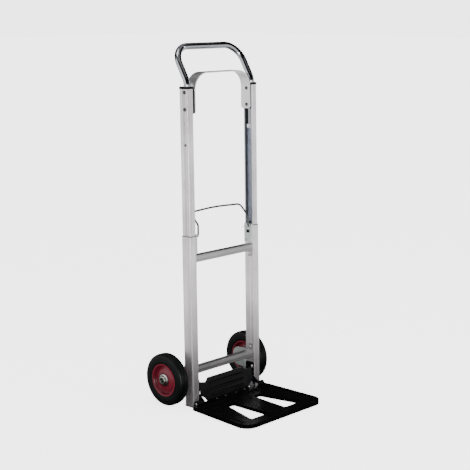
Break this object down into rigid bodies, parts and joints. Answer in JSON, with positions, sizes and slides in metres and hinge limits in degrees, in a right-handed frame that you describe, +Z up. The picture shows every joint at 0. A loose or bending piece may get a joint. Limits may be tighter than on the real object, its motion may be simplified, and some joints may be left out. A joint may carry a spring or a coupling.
{
  "type": "hand truck",
  "caption": "Folding hand truck: black toe plate, swing-in wheels, aluminium posts, sliding upper frame with chrome grip and a wire release bail.",
  "frame": {"origin": "on the floor at the middle of the footprint", "axes": "+Z up along the posts, -Y towards the load side, +X to the right seen from the load side"},
  "size_m": [0.399, 0.4186, 1.1026],
  "materials": {
    "post_aluminium": "mill-finish extrusion, satin",
    "bar_aluminium": "satin",
    "strap_aluminium": "brushed flat bar",
    "chrome_tube": "bright plated",
    "zinc_steel": "zinc plated",
    "bright_fastener": "bright plated",
    "black_plastic": "moulded, half gloss",
    "black_steel": "black powder coat",
    "bail_wire": "dark drawn wire",
    "tyre_rubber": "solid rubber",
    "red_paint": "red gloss enamel",
    "nylon": "moulded nylon"
  },
  "bodies": {
    "frame": {"bail_spring_left": "zinc_steel", "bail_spring_right": "zinc_steel", "crossbar_bolts": "bright_fastener", "foot_cap_left": "black_plastic", "foot_cap_right": "black_plastic", "hinge_plate_bolts": "bright_fastener", "lock_bracket_left": "zinc_steel", "lock_bracket_right": "zinc_steel", "lock_bracket_rivets": "bright_fastener", "lower_crossbar": "bar_aluminium", "lower_post_left": "post_aluminium", "lower_post_right": "post_aluminium", "post_collar_left": "black_plastic", "post_collar_right": "black_plastic", "toe_hinge_pins": "bright_fastener", "toe_hinge_plate_left": "black_steel", "toe_hinge_plate_right": "black_steel", "upper_crossbar": "bar_aluminium", "wheel_bracket_left": "zinc_steel", "wheel_bracket_right": "zinc_steel", "wheel_bracket_screws": "bright_fastener", "wheel_hinge_pins": "bright_fastener"},
    "upper": {"upper_post_left": "post_aluminium", "upper_post_right": "post_aluminium", "post_cap_left": "black_plastic", "post_cap_right": "black_plastic", "strap_spacer_left": "black_plastic", "strap_spacer_right": "black_plastic", "slide_shoe_left": "nylon", "slide_shoe_right": "nylon", "tube_stop_left": "zinc_steel", "tube_stop_right": "zinc_steel", "handle": "chrome_tube", "top_strap": "strap_aluminium", "through_bolts": "bright_fastener", "web_rivets": "bright_fastener"},
    "toe": {"toe_plate": "black_plastic", "toe_flange": "black_steel", "toe_rivets": "bright_fastener"},
    "release_bail": {"release_bail": "bail_wire"},
    "lock_pin_left": {"lock_pin_left": "black_steel"},
    "lock_pin_right": {"lock_pin_right": "black_steel"},
    "arm_left": {"wheel_arm_left": "zinc_steel", "axle_left": "zinc_steel", "axle_clip_left": "zinc_steel", "axle_spacer_left": "zinc_steel"},
    "wheel_left": {"tyre_left": "tyre_rubber", "rim_outer_left": "red_paint", "rim_inner_left": "red_paint", "hub_left": "zinc_steel"},
    "arm_right": {"wheel_arm_right": "zinc_steel", "axle_right": "zinc_steel", "axle_clip_right": "zinc_steel", "axle_spacer_right": "zinc_steel"},
    "wheel_right": {"tyre_right": "tyre_rubber", "rim_outer_right": "red_paint", "rim_inner_right": "red_paint", "hub_right": "zinc_steel"}
  },
  "joints": [
    {"name": "upper_slide", "type": "slide", "parent": "frame", "child": "upper", "axis": [0, 0.0185, 0.9998], "range_m": [-0.265, 0]},
    {"name": "toe_fold", "type": "hinge", "parent": "frame", "child": "toe", "pos_m": [0, 0.02925, 0.0165], "axis": [-1, 0, 0], "range_deg": [0, 90]},
    {"name": "wheel_swing_right", "type": "hinge", "parent": "frame", "child": "arm_right", "pos_m": [0.13, 0.09022, 0.0791], "axis": [0, 0.0185, 0.9998], "range_deg": [0, 90]},
    {"name": "wheel_swing_left", "type": "hinge", "parent": "frame", "child": "arm_left", "pos_m": [-0.13, 0.09022, 0.0791], "axis": [0, 0.0185, 0.9998], "range_deg": [-90, 0]},
    {"name": "wheel_spin_right", "type": "hinge", "parent": "arm_right", "child": "wheel_right", "pos_m": [0.177, 0.12775, 0.0815], "axis": [1, 0, 0], "continuous": true},
    {"name": "wheel_spin_left", "type": "hinge", "parent": "arm_left", "child": "wheel_left", "pos_m": [-0.177, 0.12775, 0.0815], "axis": [1, 0, 0], "continuous": true},
    {"name": "bail_lift", "type": "hinge", "parent": "frame", "child": "release_bail", "pos_m": [0, 0.0573, 0.53229], "axis": [1, 0, 0], "range_deg": [0, 25], "stiffness_Nm_per_rad": 0.05, "springref_deg": -34.38},
    {"name": "lock_slide_right", "type": "slide", "parent": "frame", "child": "lock_pin_right", "axis": [-1, 0, 0], "range_m": [0, 0.006]},
    {"name": "lock_slide_left", "type": "slide", "parent": "frame", "child": "lock_pin_left", "axis": [1, 0, 0], "range_m": [0, 0.006]}
  ],
  "couplings": [
    {"joint": "wheel_swing_right", "follows": "toe_fold", "ratio": 1},
    {"joint": "wheel_swing_left", "follows": "toe_fold", "ratio": -1},
    {"joint": "lock_slide_right", "follows": "bail_lift", "m_per_rad": 0.01375},
    {"joint": "lock_slide_left", "follows": "bail_lift", "m_per_rad": 0.01375}
  ]
}
